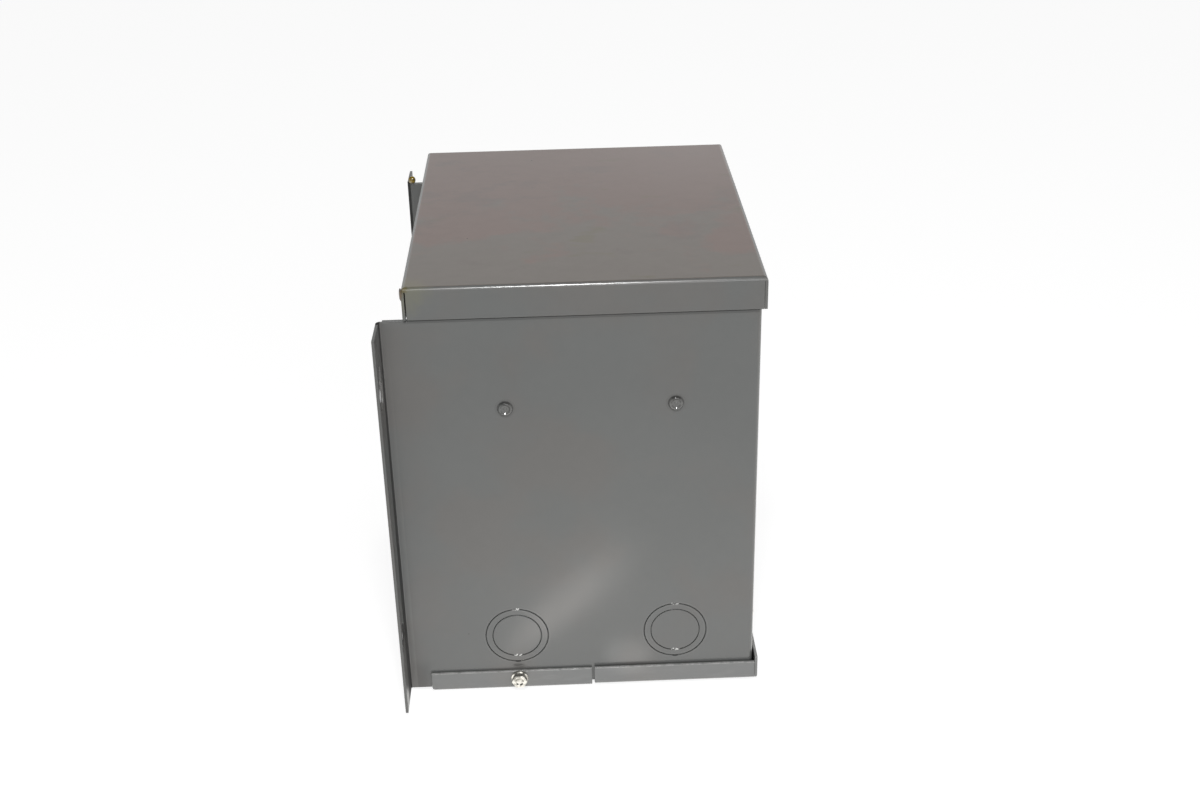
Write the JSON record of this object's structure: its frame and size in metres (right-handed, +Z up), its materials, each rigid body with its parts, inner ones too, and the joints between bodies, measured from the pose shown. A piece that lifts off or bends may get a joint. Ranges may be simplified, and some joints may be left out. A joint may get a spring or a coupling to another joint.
{
  "type": "single-phase transformer",
  "caption": "Resin-filled single-phase dry-type transformer in a grey sheet-steel wall-mount case, with keyhole flanges, a shoebox lid, conduit knockouts and a split bottom pan.",
  "frame": {"origin": "middle of the footprint, on the surface that the case stands on", "axes": "+Z up, front towards -Y, the wall that carries it at +Y, +X to the right as seen from the front"},
  "size_m": [0.216, 0.1656, 0.202],
  "materials": {
    "grey_enamel": "semi-gloss baked grey enamel",
    "zinc_plate": "bright zinc plate",
    "lamination_steel": "oxide-coated silicon steel",
    "plain_steel": "plain mild steel",
    "enamelled_copper": "enamelled copper wire, wound and impregnated",
    "insulating_paper": "tan electrical paper board",
    "yellow_tape": "yellow polyester tape",
    "natural_nylon": "natural moulded nylon",
    "potting_resin": "dark sand-filled polyester resin",
    "lead_insulation": "black wire insulation",
    "aluminium": "plain extruded aluminium",
    "amber_resin": "hard amber resin drop, gloss"
  },
  "bodies": {
    "root": {"back_panel": "grey_enamel", "case_wrap": "grey_enamel", "clamp_bolt_left": "plain_steel", "clamp_bolt_right": "plain_steel", "clamp_nut_left": "plain_steel", "clamp_nut_right": "plain_steel", "coil_outer_wrap": "yellow_tape", "core_bracket_left_front": "plain_steel", "core_bracket_left_rear": "plain_steel", "core_bracket_right_front": "plain_steel", "core_bracket_right_rear": "plain_steel", "core_e_laminations": "lamination_steel", "core_i_laminations": "lamination_steel", "core_pad": "insulating_paper", "earthing_lug": "aluminium", "earthing_screw": "zinc_plate", "front_bottom_pan": "grey_enamel", "front_pan_screw_left": "zinc_plate", "front_pan_screw_right": "zinc_plate", "inner_winding": "enamelled_copper", "layer_insulation": "insulating_paper", "outer_winding": "enamelled_copper", "potting_compound": "potting_resin", "primary_lead_1": "lead_insulation", "primary_lead_2": "lead_insulation", "primary_lead_3": "lead_insulation", "primary_lead_4": "lead_insulation", "rear_bottom_pan": "grey_enamel", "rear_pan_screw_left": "zinc_plate", "rear_pan_screw_right": "zinc_plate", "resin_bead_cover_corner": "amber_resin", "resin_bead_right_leg": "amber_resin", "rivet_left_front": "grey_enamel", "rivet_left_rear": "grey_enamel", "rivet_right_front": "grey_enamel", "rivet_right_rear": "grey_enamel", "secondary_lead_1": "lead_insulation", "secondary_lead_2": "lead_insulation", "secondary_lead_3": "lead_insulation", "secondary_lead_4": "lead_insulation", "top_cover": "grey_enamel", "winding_former": "natural_nylon"}
  },
  "joints": []
}
